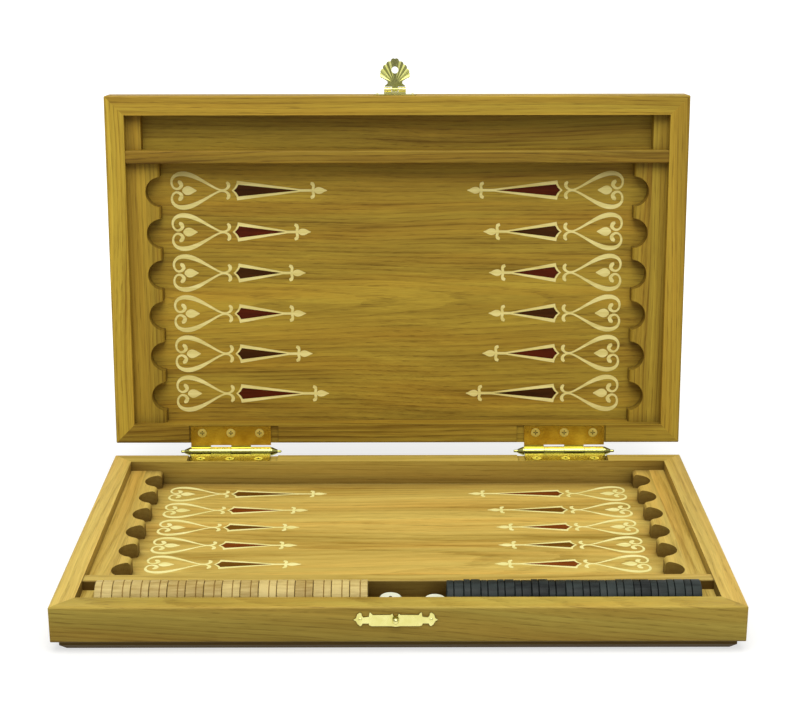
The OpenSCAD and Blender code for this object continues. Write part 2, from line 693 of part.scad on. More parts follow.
// A row of draughts on edge from the ledge at one end of the tray.
module draught_row(gap, first_turned) {
    translate([loose_gap - ledge_in, front_in + tray_w / 2, draught_d / 2 + loose_gap - field_depth])
        for (i = [0 : row_count - 1]) {
            turned = i == 0 && first_turned;
            translate([i * (draught_t + gap) + (turned ? 0 : draught_t), 0, 0])
                rotate([0, turned ? 90 : -90, 0]) draught();
        }
}
module light_draughts() {
    draught_row(light_gap, true);
}
module dark_draughts() {
    mirror([1, 0, 0]) draught_row(dark_gap, false);
}
// A die with rounded corners, one pip up and opposite faces adding up to seven.
module die() {
    w = die_w;
    difference() {
        intersection() {
            cube(w, center = true);
            sphere(die_round * w, $fn = 96);
        }
        die_face(0, 0) pips([[0, 0]]);
        die_face(90, 0) pips([[-1, -1], [1, 1]]);
        die_face(90, 90) pips([[-1, -1], [0, 0], [1, 1]]);
        die_face(90, 270) pips([[-1, -1], [-1, 1], [1, -1], [1, 1]]);
        die_face(90, 180) pips([[-1, -1], [-1, 1], [0, 0], [1, -1], [1, 1]]);
        die_face(180, 0) pips([[-1, -1], [-1, 0], [-1, 1], [1, -1], [1, 0], [1, 1]]);
    }
}
module die_face(tip, turn) {
    rotate([0, 0, turn]) rotate([tip, 0, 0]) translate([0, 0, die_w / 2]) children();
}
module pips(places) {
    pip_r = die_w / 10;
    step = die_w / 4;
    for (p = places) translate([p[0] * step, p[1] * step, 0.7 * pip_r]) sphere(pip_r);
}
module left_die() {
    translate([left_die_x, front_in + tray_w / 2 - left_die_front, die_w / 2 - field_depth]) die();
}
module right_die() {
    translate([right_die_x, front_in + die_w / 2 + loose_gap, die_w / 2 - field_depth]) die();
}

module in_base() {
    translate([0, 0, half_h]) children();
}
// The lid is turned round its middle, laid open beyond the hinges and swung up to its angle.
module in_lid() {
    translate([0, hinge_y, half_h + hinge_z]) rotate([180 - lid_open, 0, 0]) rotate([0, 0, 180])
        translate([0, -hinge_y, -hinge_z]) children();
}

module part_base_front_rail() {
    color(OAK) in_base() base_front_rail();
}
module part_base_back_rail() {
    color(OAK) in_base() back_rail();
}
module part_base_left_rail() {
    color(OAK) in_base() side_rail(-1);
}
module part_base_right_rail() {
    color(OAK) in_base() side_rail(1);
}
module part_base_board() {
    color(OAK_BOARD) in_base() board();
}
module part_base_outer_panel() {
    color(OAK) in_base() outer_panel();
}
module part_base_left_ledge() {
    color(OAK) in_base() ledge(-1);
}
module part_base_right_ledge() {
    color(OAK) in_base() ledge(1);
}
module part_base_left_scallop() {
    color(OAK) in_base() scallop_strip(-1);
}
module part_base_right_scallop() {
    color(OAK) in_base() scallop_strip(1);
}
module part_base_tray_divider() {
    color(OAK) in_base() tray_divider();
}
module part_base_light_inlays() {
    color(LIGHT_WOOD) in_base() light_inlays();
}
module part_base_brown_inlays() {
    color(BROWN_WOOD) in_base() core_inlays(0);
}
module part_base_red_inlays() {
    color(RED_WOOD) in_base() core_inlays(1);
}
module part_lid_front_rail() {
    color(OAK) in_lid() lid_front_rail();
}
module part_lid_back_rail() {
    color(OAK) in_lid() back_rail();
}
module part_lid_left_rail() {
    color(OAK) in_lid() side_rail(1);
}
module part_lid_right_rail() {
    color(OAK) in_lid() side_rail(-1);
}
module part_lid_board() {
    color(OAK_BOARD) in_lid() board();
}
module part_lid_outer_panel() {
    color(OAK) in_lid() outer_panel();
}
module part_lid_left_ledge() {
    color(OAK) in_lid() ledge(1);
}
module part_lid_right_ledge() {
    color(OAK) in_lid() ledge(-1);
}
module part_lid_left_scallop() {
    color(OAK) in_lid() scallop_strip(1);
}
module part_lid_right_scallop() {
    color(OAK) in_lid() scallop_strip(-1);
}
module part_lid_tray_divider() {
    color(OAK) in_lid() tray_divider();
}
module part_lid_light_inlays() {
    color(LIGHT_WOOD) in_lid() light_inlays();
}
module part_lid_brown_inlays() {
    color(BROWN_WOOD) in_lid() core_inlays(0);
}
module part_lid_red_inlays() {
    color(RED_WOOD) in_lid() core_inlays(1);
}
module part_left_hinge_base_leaf() {
    color(BRASS) in_base() hinge_leaf(-1, 1);
}
module part_left_hinge_lid_leaf() {
    color(BRASS) in_lid() hinge_leaf(1, 1);
}
module part_left_hinge_pin() {
    color(BRASS) in_base() hinge_pin(-1);
}
module part_right_hinge_base_leaf() {
    color(BRASS) in_base() hinge_leaf(1, 1);
}
module part_right_hinge_lid_leaf() {
    color(BRASS) in_lid() hinge_leaf(-1, 1);
}
module part_right_hinge_pin() {
    color(BRASS) in_base() hinge_pin(1);
}
module part_base_hinge_screws() {
    color(BRASS) in_base() hinge_screws();
}
module part_lid_hinge_screws() {
    color(BRASS) in_lid() hinge_screws();
}
module part_clasp_plate() {
    color(BRASS) in_lid() clasp_plate();
}
module part_clasp_shell() {
    color(BRASS) in_lid() clasp_shell();
}
module part_clasp_pin() {
    color(BRASS) in_lid() clasp_pin();
}
module part_clasp_nails() {
    color(BRASS) in_lid() clasp_nails();
}
module part_strike_plate() {
    color(BRASS) in_base() strike_plate();
}
module part_strike_knob() {
    color(BRASS) in_base() strike_knob();
}
module part_strike_nails() {
    color(BRASS) in_base() strike_nails();
}
module part_light_draughts() {
    color(LIGHT_PIECE) in_base() light_draughts();
}
module part_dark_draughts() {
    color(DARK_PIECE) in_base() dark_draughts();
}
module part_left_die() {
    color(IVORY) in_base() left_die();
}
module part_right_die() {
    color(IVORY) in_base() right_die();
}

part_base_front_rail();  // base_front_rail
part_base_back_rail();  // base_back_rail
part_base_left_rail();  // base_left_rail
part_base_right_rail();  // base_right_rail
part_base_board();  // base_board
part_base_outer_panel();  // base_outer_panel
part_base_left_ledge();  // base_left_ledge
part_base_right_ledge();  // base_right_ledge
part_base_left_scallop();  // base_left_scallop
part_base_right_scallop();  // base_right_scallop
part_base_tray_divider();  // base_tray_divider
part_base_light_inlays();  // base_light_inlays
part_base_brown_inlays();  // base_brown_inlays
part_base_red_inlays();  // base_red_inlays
part_lid_front_rail();  // lid_front_rail
part_lid_back_rail();  // lid_back_rail
part_lid_left_rail();  // lid_left_rail
part_lid_right_rail();  // lid_right_rail
part_lid_board();  // lid_board
part_lid_outer_panel();  // lid_outer_panel
part_lid_left_ledge();  // lid_left_ledge
part_lid_right_ledge();  // lid_right_ledge
part_lid_left_scallop();  // lid_left_scallop
part_lid_right_scallop();  // lid_right_scallop
part_lid_tray_divider();  // lid_tray_divider
part_lid_light_inlays();  // lid_light_inlays
part_lid_brown_inlays();  // lid_brown_inlays
part_lid_red_inlays();  // lid_red_inlays
part_left_hinge_base_leaf();  // left_hinge_base_leaf
part_left_hinge_lid_leaf();  // left_hinge_lid_leaf
part_left_hinge_pin();  // left_hinge_pin
part_right_hinge_base_leaf();  // right_hinge_base_leaf
part_right_hinge_lid_leaf();  // right_hinge_lid_leaf
part_right_hinge_pin();  // right_hinge_pin
part_base_hinge_screws();  // base_hinge_screws
part_lid_hinge_screws();  // lid_hinge_screws
part_clasp_plate();  // clasp_plate
part_clasp_shell();  // clasp_shell
part_clasp_pin();  // clasp_pin
part_clasp_nails();  // clasp_nails
part_strike_plate();  // strike_plate
part_strike_knob();  // strike_knob
part_strike_nails();  // strike_nails
part_light_draughts();  // light_draughts
part_dark_draughts();  // dark_draughts
part_left_die();  // left_die
part_right_die();  // right_die
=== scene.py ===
"""Looks for the folding backgammon box: oak, inlaid wood, brass, draughts and dice over its CAD part."""
import math
import random

import bmesh
import bpy
from mathutils import Euler, Matrix, Vector


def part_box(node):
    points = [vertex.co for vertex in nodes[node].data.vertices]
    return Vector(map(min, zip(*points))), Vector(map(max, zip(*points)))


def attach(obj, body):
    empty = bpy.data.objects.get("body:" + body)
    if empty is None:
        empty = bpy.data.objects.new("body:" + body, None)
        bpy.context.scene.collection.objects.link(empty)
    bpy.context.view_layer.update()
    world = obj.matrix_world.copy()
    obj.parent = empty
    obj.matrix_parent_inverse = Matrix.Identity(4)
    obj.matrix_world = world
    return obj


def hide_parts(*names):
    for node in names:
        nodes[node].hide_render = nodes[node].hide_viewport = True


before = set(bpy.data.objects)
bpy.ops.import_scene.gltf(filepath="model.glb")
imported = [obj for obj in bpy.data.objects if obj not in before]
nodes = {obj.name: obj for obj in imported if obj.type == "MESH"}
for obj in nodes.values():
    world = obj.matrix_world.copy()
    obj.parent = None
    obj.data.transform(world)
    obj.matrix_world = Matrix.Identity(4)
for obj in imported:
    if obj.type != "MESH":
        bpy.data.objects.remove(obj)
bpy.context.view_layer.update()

MM = 0.001
# How far the lid stands open in the photo, in degrees.
LID_OPEN = 95.35
# The turn about X that lays each half's playing board level, inlays upwards.
HALVES = {"base": 0.0, "lid": -math.radians(180 - LID_OPEN)}
SHARP_ANGLE = math.radians(35)
# How far the sharp edges of wood, hinge leaves, clasp parts and screws are softened.
WOOD_EDGE = 0.5 * MM
LEAF_EDGE = 0.25 * MM
CLASP_EDGE = 0.15 * MM
SCREW_EDGE = 0.3 * MM
FULL_TURN = 2 * math.pi


def linear(r, g, b):
    """A colour as seen on screen, 0 to 255, as the linear values that shaders take."""
    out = []
    for v in (r / 255, g / 255, b / 255):
        out.append(v / 12.92 if v <= 0.04045 else ((v + 0.055) / 1.055) ** 2.4)
    return (*out, 1.0)


def grey(level):
    return (level, level, level, 1.0)


def blend(a, b, share):
    return tuple(x + (y - x) * share for x, y in zip(a[:3], b[:3])) + (1.0,)


def tinted(colour, tint):
    return tuple(c * t for c, t in zip(colour, tint))


BLACK = grey(0.0)
WHITE = grey(1.0)
WARM_TINT = (1.02, 0.86, 0.72, 1.0)
# The brown of painted shade in the oak's recesses and on its faces that stand up.
PAINTED_SHADE_BROWN = (0.056, 0.024, 0.001, 1.0)
# The dark of grime and painted shade in the brass's recesses.
BRASS_GRIME_AND_SHADE = linear(60, 48, 8)
RINGS_PER_METRE = 260.0


class Shader:
    """A small helper that adds nodes to one material and links them."""

    def __init__(self, name):
        self.material = bpy.data.materials.new(name)
        self.material.use_nodes = True
        self.tree = self.material.node_tree
        self.bsdf = self.tree.nodes["Principled BSDF"]

    def add(self, kind, settings=None, **sockets):
        node = self.tree.nodes.new(kind)
        for key, value in (settings or {}).items():
            setattr(node, key, value)
        for key, value in sockets.items():
            self.put(node.inputs[key.replace("_", " ")], value)
        return node

    def put(self, socket, value):
        if isinstance(value, bpy.types.NodeSocket):
            self.tree.links.new(value, socket)
        else:
            socket.default_value = value

    def surface(self, name, value):
        self.put(self.bsdf.inputs[name], value)

    def place(self):
        """Object coordinates."""
        return self.add("ShaderNodeTexCoord").outputs["Object"]

    def math(self, operation, a, b=0.0):
        node = self.add("ShaderNodeMath", {"operation": operation})
        self.put(node.inputs[0], a)
        self.put(node.inputs[1], b)
        return node.outputs[0]

    def plus(self, a, b):
        return self.math("ADD", a, b)

    def minus(self, a, b):
        return self.math("SUBTRACT", a, b)

    def times(self, a, b):
        return self.math("MULTIPLY", a, b)

    def sway(self, value, strength):
        """A noise value as a swing about zero."""
        return self.times(self.minus(value, 0.5), strength)

    def length(self, a, b):
        """Distance from the origin in two directions."""
        return self.math("SQRT", self.plus(self.times(a, a), self.times(b, b)))

    def noise(self, vector, detail=4.0, roughness=0.55, scale=1.0):
        node = self.add("ShaderNodeTexNoise", Vector=vector, Scale=scale, Detail=detail, Roughness=roughness)
        return node.outputs[0]

    def ramp(self, factor, stops):
        node = self.add("ShaderNodeValToRGB")
        elements = node.color_ramp.elements
        while len(elements) < len(stops):
            elements.new(0.5)
        for element, (place, colour) in zip(elements, stops):
            element.position = place
            element.color = colour
        self.put(node.inputs[0], factor)
        return node.outputs[0]

    def rise(self, factor, start, end):
        """0 below start and 1 above end."""
        return self.ramp(factor, [(start, BLACK), (end, WHITE)])

    def fall(self, factor, start, end):
        """1 below start and 0 above end."""
        return self.ramp(factor, [(start, WHITE), (end, BLACK)])

    def mix(self, factor, a, b, mode="MIX"):
        node = self.add("ShaderNodeMix", {"data_type": "RGBA", "blend_type": mode})
        self.put(node.inputs[0], factor)
        self.put(node.inputs[6], a)
        self.put(node.inputs[7], b)
        return node.outputs[2]

    def bump(self, height, strength, distance):
        node = self.add("ShaderNodeBump", Height=height, Strength=strength, Distance=distance)
        self.surface("Normal", node.outputs[0])

    def occlusion(self, distance):
        """How open a point is, from 0 in a tight recess to 1 on an open face."""
        node = self.add("ShaderNodeAmbientOcclusion", {"samples": 8}, Distance=distance)
        return node.outputs["AO"]

    def grain_vector(self, node, tilt, along, shift):
        """Object coordinates about a node's middle, turned so that the grain runs along X."""
        turn = Euler((tilt, 0.0, math.pi / 2 if along == "Y" else 0.0))
        low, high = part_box(node)
        middle = turn.to_matrix() @ ((Vector(low) + Vector(high)) / 2)
        location = Vector(shift) - middle
        return self.add("ShaderNodeMapping", Vector=self.place(), Location=location, Rotation=turn).outputs[0]

    def upright(self, tilt):
        """0 on faces that lie flat in their half of the box, 1 on those that stand up in it."""
        flat = Euler((tilt, 0.0, 0.0)).to_matrix().transposed() @ Vector((0.0, 0.0, 1.0))
        facing = self.add("ShaderNodeVectorMath", {"operation": "DOT_PRODUCT"})
        self.put(facing.inputs[0], self.add("ShaderNodeTexCoord").outputs["Normal"])
        self.put(facing.inputs[1], tuple(flat))
        return self.minus(1.0, self.math("ABSOLUTE", facing.outputs["Value"]))

    def stretched(self, vector, scale):
        return self.add("ShaderNodeMapping", Vector=vector, Scale=scale).outputs[0]

    def split(self, vector):
        return self.add("ShaderNodeSeparateXYZ", Vector=vector).outputs


def log_grain(s, vector, slope):
    """Wavering coordinates in a log whose pith runs along X, and its growth rings' early wood."""
    wander = s.minus(s.noise(s.stretched(vector, (2.4, 9.0, 9.0)), detail=2.0, roughness=0.4), 0.5)
    axes = s.split(vector)
    across = s.plus(axes[1], s.times(wander, 0.03))
    deep = s.plus(axes[2], s.times(axes[0], slope))
    deep = s.plus(deep, s.times(wander, 0.02))
    flow = s.add("ShaderNodeCombineXYZ", X=axes[0], Y=across, Z=deep).outputs[0]
    ragged = s.noise(s.stretched(flow, (9.0, 220.0, 220.0)), detail=3.0, roughness=0.6)
    rings = s.plus(s.times(s.length(across, deep), RINGS_PER_METRE), s.times(ragged, 0.45))
    stops = [(0.0, grey(0.75)), (0.12, WHITE), (0.45, grey(0.25)), (1.0, BLACK)]
    early = s.ramp(s.math("FRACT", rings), stops)
    return flow, early


def oak(node, tilt, along, shift, slope, dark, light, reach, depth, cut):
    """Satin oak cut from a log: growth rings about its pith, streaks, fine fibres and dark pores.

    Painted shade darkens its recesses within reach of other wood, by depth at most, and the faces that stand
    up in its half by cut.
    """
    s = Shader(f"{node}_oak")
    flow, early = log_grain(s, s.grain_vector(node, tilt, along, shift), slope)
    broad = s.noise(s.stretched(flow, (1.2, 30.0, 30.0)), detail=3.0, roughness=0.5)
    streaks = s.noise(s.stretched(flow, (3.2, 170.0, 170.0)), detail=3.0, roughness=0.55)
    fibres = s.noise(s.stretched(flow, (24.0, 850.0, 850.0)), detail=3.0, roughness=0.65)
    pores = s.noise(s.stretched(flow, (45.0, 1500.0, 1500.0)), detail=1.0)
    patches = s.noise(s.stretched(flow, (1.8, 55.0, 55.0)), detail=3.0)
    tone = 0.58
    for figure, strength in ((streaks, 0.8), (broad, 1.1), (fibres, 0.5)):
        tone = s.plus(tone, s.sway(figure, strength))
    tone = s.minus(tone, s.times(early, 0.16))
    colour = s.ramp(tone, [(0.1, dark), (0.45, blend(dark, light, 0.55)), (0.85, light)])
    pore_mask = s.times(s.fall(pores, 0.36, 0.46), s.plus(0.25, s.times(early, 0.75)))
    colour = s.mix(s.times(pore_mask, 0.4), colour, blend(BLACK, dark, 0.5))
    colour = s.mix(s.times(s.rise(patches, 0.42, 0.68), 0.8), colour, WARM_TINT, "MULTIPLY")
    # Painted shade: recesses close to other wood turn brown.
    colour = s.mix(s.times(s.fall(s.occlusion(reach), 0.3, 0.95), depth), colour, PAINTED_SHADE_BROWN)
    # Painted shade: faces that stand up in the half turn brown.
    colour = s.mix(s.times(s.upright(tilt), cut), colour, PAINTED_SHADE_BROWN)
    s.surface("Base Color", colour)
    s.surface("Roughness", s.plus(0.46, s.times(fibres, 0.18)))
    s.surface("Specular IOR Level", 0.22)
    s.bump(s.minus(fibres, s.times(pore_mask, 0.9)), 0.3, 0.2 * MM)
    return s.material


def inlay_wood(node, tilt, dark, light):
    """A close-grained wood for the inlays."""
    s = Shader(f"{node}_wood")
    v = s.grain_vector(node, tilt, "X", (0.0, 0.0, 0.0))
    streaks = s.noise(s.stretched(v, (14.0, 260.0, 260.0)), detail=4.0, roughness=0.6)
    specks = s.noise(s.stretched(v, (160.0, 1900.0, 1900.0)), detail=2.0)
    tone = s.plus(streaks, s.sway(specks, 0.35))
    s.surface("Base Color", s.ramp(tone, [(0.3, dark), (0.66, light)]))
    s.surface("Roughness", s.plus(0.5, s.times(streaks, 0.1)))
    s.surface("Specular IOR Level", 0.08)
    s.bump(tone, 0.2, 0.1 * MM)
    return s.material


def turned_wood(name, node, pitch, dark, light, grime_and_shade):
    """A row of turned draughts, one to each pitch: each has its own tone, and painted shade darkens their
    recesses.
    """
    s = Shader(name)
    v = s.grain_vector(node, 0.0, "X", (0.0, 0.0, 0.0))
    number = s.math("FLOOR", s.plus(s.times(s.split(v)[0], 1.0 / pitch), 0.5))
    own = s.add("ShaderNodeTexWhiteNoise", {"noise_dimensions": "1D"}, W=number).outputs["Value"]
    moved = s.add("ShaderNodeVectorMath", {"operation": "ADD"})
    s.put(moved.inputs[0], v)
    s.put(moved.inputs[1], s.add("ShaderNodeCombineXYZ", X=s.times(own, 3.0)).outputs[0])
    streaks = s.noise(s.stretched(moved.outputs[0], (40.0, 320.0, 320.0)), detail=4.0, roughness=0.6)
    tone = s.plus(streaks, s.sway(own, 0.3))
    colour = s.ramp(tone, [(0.22, dark), (0.66, light)])
    # Painted shade: recesses close to the next draught turn to the darker colour given last.
    recess = s.fall(s.occlusion(4 * MM), 0.3, 0.9)
    s.surface("Base Color", s.mix(s.times(recess, 0.7), colour, grime_and_shade))
    s.surface("Roughness", s.plus(0.42, s.times(streaks, 0.12)))
    s.surface("Specular IOR Level", 0.2)
    s.bump(streaks, 0.25, 0.1 * MM)
    return s.material


# Each wood's last colour is the painted shade in its draughts' recesses and groove.
def beech(pitch):
    return turned_wood("draught_beech", "light_draughts", pitch, linear(160, 132, 68), linear(212, 190, 122),
                       linear(146, 112, 50))


def black_stain(pitch):
    return turned_wood("draught_stained", "dark_draughts", pitch, linear(8, 12, 12), linear(46, 54, 52),
                       linear(4, 5, 5))


pin_low, pin_high = (Vector(c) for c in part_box("left_hinge_pin"))
HINGE_AXIS = (pin_low + pin_high) / 2
# How far from the hinge's axis brass counts as barrel: the reach of the pin's finials and 1.5 mm more.
BARREL_REACH = (pin_high.z - pin_low.z) / 2 + 1.5 * MM


def brass(name, colour, deep, roughness, grime_and_shade=0.8, barrel=None):
    """Polished brass with faint rolling marks, slight unevenness and recesses darkened by grime and painted
    shade.

    A barrel colour is for knuckles that are turned and polished brighter than their leaf.
    """
    s = Shader(name)
    place = s.place()
    cloudy = s.noise(place, detail=3.0, scale=110.0)
    brushed = s.noise(s.stretched(place, (90.0, 2400.0, 2400.0)), detail=2.0)
    worn = s.mix(s.rise(cloudy, 0.35, 0.7), colour, deep)
    if barrel:
        axes = s.split(place)
        off_axis = s.length(s.minus(axes[1], HINGE_AXIS.y), s.minus(axes[2], HINGE_AXIS.z))
        worn = s.mix(s.math("LESS_THAN", off_axis, BARREL_REACH), worn, barrel)
    # Grime and painted shade: recesses close to other parts darken.
    recess = s.fall(s.occlusion(1.5 * MM), 0.3, 0.82)
    s.surface("Metallic", 1.0)
    s.surface("Base Color", s.mix(s.times(recess, grime_and_shade), worn, BRASS_GRIME_AND_SHADE))
    s.surface("Roughness", s.plus(roughness, s.times(cloudy, 0.12)))
    s.bump(s.plus(s.times(cloudy, 0.7), s.times(brushed, 0.3)), 0.15, 0.3 * MM)
    return s.material


def ivory():
    s = Shader("die_ivory")
    cloudy = s.noise(s.place(), detail=2.0, scale=90.0)
    s.surface("Base Color", s.mix(cloudy, linear(238, 243, 226), linear(228, 232, 208)))
    s.surface("Roughness", 0.22)
    s.surface("Subsurface Weight", 0.08)
    s.surface("Subsurface Radius", (2 * MM, 1.5 * MM, 1 * MM))
    return s.material


def ink():
    s = Shader("pip_ink")
    cloudy = s.noise(s.place(), detail=2.0, scale=700.0)
    s.surface("Base Color", s.mix(cloudy, linear(28, 26, 24), linear(48, 44, 38)))
    s.surface("Roughness", 0.4)
    return s.material


def dress(node, material, edge=0.0):
    """Gives a CAD node its material and softens its sharp edges."""
    o = nodes[node]
    o.data.materials.clear()
    o.data.materials.append(material)
    if edge:
        bevel = o.modifiers.new("Soft edges", "BEVEL")
        bevel.width = edge
        bevel.segments = 2
        bevel.limit_method = "ANGLE"
        bevel.angle_limit = SHARP_ANGLE


def link_mesh(name, mesh, material):
    """A smooth object in the scene from a mesh that is still being edited."""
    data = bpy.data.meshes.new(name)
    mesh.to_mesh(data)
    mesh.free()
    data.polygons.foreach_set("use_smooth", [True] * len(data.polygons))
    data.materials.append(material)
    o = bpy.data.objects.new(name, data)
    bpy.context.scene.collection.objects.link(o)
    return o


# Each piece's place in its log (across, depth of the pith), its slopes and its tones in base and lid. The
# tones are partly each piece's own wood and partly painted light and shade: the base's front rail and outer
# panel are darker as painted shade, and the side rails lighter as painted light on their rims.
ALONG_X = {
    "front_rail": (0.030, 0.062, (0.075, 0.012), (0.79, 0.98)),
    "back_rail": (-0.045, 0.055, (0.010, 0.010), (1.0, 0.92)),
    "tray_divider": (0.050, 0.030, (0.008, 0.008), (1.05, 0.74)),
    "board": (0.030, 0.060, (0.050, 0.050), (1.10, 0.90)),
    "outer_panel": (-0.040, 0.055, (0.045, 0.045), (0.65, 0.85)),
}
ALONG_Y = {
    "left_rail": (0.045, 0.040, (0.015, 0.015), (1.2, 1.22)),
    "right_rail": (-0.050, 0.045, (0.012, 0.012), (1.15, 1.0)),
    "left_ledge": (0.040, 0.050, (0.010, 0.010), (1.2, 0.92)),
    "right_ledge": (-0.040, 0.050, (0.012, 0.012), (1.2, 0.92)),
    "left_scallop": (0.035, 0.060, (0.015, 0.015), (1.1, 0.92)),
    "right_scallop": (-0.035, 0.060, (0.015, 0.015), (1.1, 0.92)),
}
# Each half's dark and light wood, and how far and how strongly painted shade darkens its recesses. The lid's
# wood is darker partly in its own tone and partly as painted shade.
PALETTES = {
    "base": (linear(152, 122, 42), linear(217, 191, 100), 20 * MM, 0.80),
    "lid": (linear(110, 78, 10), linear(198, 169, 60), 12 * MM, 0.45),
}
# How much blue is left in pieces whose wood looks yellower, partly their own wood and partly the warmer look
# of painted shade.
BLUE_KEPT = {"base_front_rail": 0.72, "base_back_rail": 0.88, "base_outer_panel": 0.5}
# How strongly painted shade darkens the recesses of pieces where it stays lighter than in the rest of their
# half.
LIGHTER_PAINTED_SHADE = {"base_left_ledge": 0.2, "base_right_ledge": 0.2, "lid_board": 0.2, "lid_tray_divider": 0.2}
# How strongly painted shade darkens the faces that stand up in their half.
UPRIGHT_PAINTED_SHADE = {
    "base_left_scallop": 0.65, "base_right_scallop": 0.65, "base_tray_divider": 0.7,
    "base_back_rail": 0.25, "base_front_rail": 0.15, "base_outer_panel": 0.6,
    "lid_left_scallop": 0.4, "lid_right_scallop": 0.4,
}
# The dark and light tones of each kind of inlay; the lid's are darker, partly in their own tone and partly as
# painted shade.
INLAYS = {
    "base": {"light": (linear(232, 222, 136), linear(252, 246, 176)),
             "brown": (linear(92, 58, 8), linear(122, 80, 18)),
             "red": (linear(100, 48, 8), linear(132, 64, 16))},
    "lid": {"light": (linear(222, 206, 124), linear(246, 234, 160)),
            "brown": (linear(52, 26, 4), linear(74, 40, 10)),
            "red": (linear(66, 21, 5), linear(90, 32, 10))},
}
# Pieces are cut from different places along the log, by the length of their names.
SHIFT_PER_LETTER = 0.31
for half, tilt in HALVES.items():
    dark, light, reach, depth = PALETTES[half]
    for pieces, along in ((ALONG_X, "X"), (ALONG_Y, "Y")):
        for name, (across, pith, slopes, tones) in pieces.items():
            node = f"{half}_{name}"
            shift = (SHIFT_PER_LETTER * len(name), across, pith if half == "base" else -pith)
            slope = slopes[half == "lid"]
            level = tones[half == "lid"]
            tint = (level, level, level * BLUE_KEPT.get(node, 1.0), 1.0)
            wood = oak(node, tilt, along, shift, slope, tinted(dark, tint), tinted(light, tint), reach,
                       LIGHTER_PAINTED_SHADE.get(node, depth), UPRIGHT_PAINTED_SHADE.get(node, 0.0))
            dress(node, wood, 0.0 if name == "board" else WOOD_EDGE)
    for name, (dark, light) in INLAYS[half].items():
        node = f"{half}_{name}_inlays"
        dress(node, inlay_wood(node, tilt, dark, light))

PALE_BARREL = linear(198, 196, 110)
yellow_brass = brass("yellow_brass", linear(226, 196, 84), linear(204, 168, 58), 0.10, barrel=PALE_BARREL)
# A darker copy of the yellow brass for the base leaves: painted shade for the dark band they show below the
# barrel.
painted_shade_brass = brass("painted_shade_brass", linear(158, 146, 62), linear(132, 120, 44), 0.2, barrel=PALE_BARREL)
bright_brass = brass("bright_brass", linear(238, 232, 154), linear(220, 212, 124), 0.22)
shell_brass = brass("shell_brass", linear(218, 218, 138), linear(190, 190, 100), 0.16, grime_and_shade=1.0)
# The lid's and the base's screws are one brass in two copies, one brighter and one paler: painted light for
# the rings and glints each shows.
screw_brass = brass("screw_brass", linear(255, 240, 150), linear(232, 212, 112), 0.3, grime_and_shade=1.0)
pale_screw_brass = brass("pale_screw_brass", linear(222, 228, 164), linear(198, 204, 130), 0.3, grime_and_shade=1.0)
for side in ("left", "right"):
    dress(f"{side}_hinge_lid_leaf", yellow_brass, LEAF_EDGE)
    dress(f"{side}_hinge_base_leaf", painted_shade_brass, LEAF_EDGE)
    dress(f"{side}_hinge_pin", yellow_brass)
dress("clasp_pin", yellow_brass)
dress("clasp_shell", shell_brass, CLASP_EDGE)
dress("base_hinge_screws", pale_screw_brass, SCREW_EDGE)
dress("lid_hinge_screws", screw_brass, SCREW_EDGE)
for name in ("clasp_plate", "strike_plate"):
    dress(name, bright_brass, CLASP_EDGE)
for name in ("clasp_nails", "strike_knob", "strike_nails"):
    dress(name, bright_brass)

# Turned draughts: how many to a row, how finely they are drawn, the rounding of their edges, the ring in
# their faces and the groove between their broad band and their narrow one.
DRAUGHTS = 15
SIZE_SEED = 15
AROUND = 64
EDGE_STEPS = 4
EDGE_R = 0.7 * MM
RING_INSET = 4 * MM
GROOVE_HALF = 0.45 * MM
GROOVE_DEEP = 0.9 * MM
BROAD_SHARE = 0.585


def turned_profile(width, radius):
    """Distance along the axis and radius, from the centre of the broad face to that of the narrow one."""
    ring = radius - RING_INSET
    broad = BROAD_SHARE * width
    start = [(0.0, 0.0), (0.0, ring - GROOVE_HALF), (GROOVE_HALF, ring), (0.0, ring + GROOVE_HALF)]
    for step in range(EDGE_STEPS + 1):
        a = math.radians(90 / EDGE_STEPS * step)
        start.append((EDGE_R - EDGE_R * math.cos(a), radius - EDGE_R + EDGE_R * math.sin(a)))
    middle = []
    for offset, deep in ((-1, 0), (-0.6, 0.7), (0, 1), (0.6, 0.7), (1, 0)):
        middle.append((broad + offset * GROOVE_HALF, radius - deep * GROOVE_DEEP))
    return start + middle + [(width - x, r) for x, r in reversed(start)]


def lathe_ring(mesh, centre, radius):
    """Points around the X axis at a centre, or the centre alone where the radius is nought."""
    ring = []
    for k in range(AROUND if radius else 1):
        a = FULL_TURN * k / AROUND
        ring.append(mesh.verts.new(centre + radius * Vector((0.0, math.cos(a), math.sin(a)))))
    return ring


def bridge(mesh, one, two):
    """Faces between two rings, either of which may be a single point."""
    for k in range(AROUND):
        j = (k + 1) % AROUND
        corners = [one[k % len(one)], two[k % len(two)], two[j % len(two)], one[j % len(one)]]
        mesh.faces.new(list(dict.fromkeys(corners)))


def draught_row(name, gap, uneven, turned, wood):
    """A row of turned draughts in place of its CAD node, each a little different in size.

    The places in turned have their narrow band towards -X.
    """
    low, high = (Vector(c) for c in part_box(name))
    width = (high.x - low.x - (DRAUGHTS - 1) * gap) / DRAUGHTS
    radius = (high.z - low.z) / 2
    chance = random.Random(SIZE_SEED)
    mesh = bmesh.new()
    for i in range(DRAUGHTS):
        own_radius = radius * (1 - uneven * chance.random())
        left = low.x + i * (width + gap)
        rings = []
        for x, r in turned_profile(width, own_radius):
            along = left + (width - x if i in turned else x)
            rings.append(lathe_ring(mesh, Vector((along, (low.y + high.y) / 2, low.z + own_radius)), r))
        for one, two in zip(rings, rings[1:]):
            bridge(mesh, one, two)
    bmesh.ops.recalc_face_normals(mesh, faces=mesh.faces)
    o = link_mesh(name + "_turned", mesh, wood(width + gap))
    o.data.set_sharp_from_angle(angle=SHARP_ANGLE)
    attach(o, name)
    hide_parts(name)


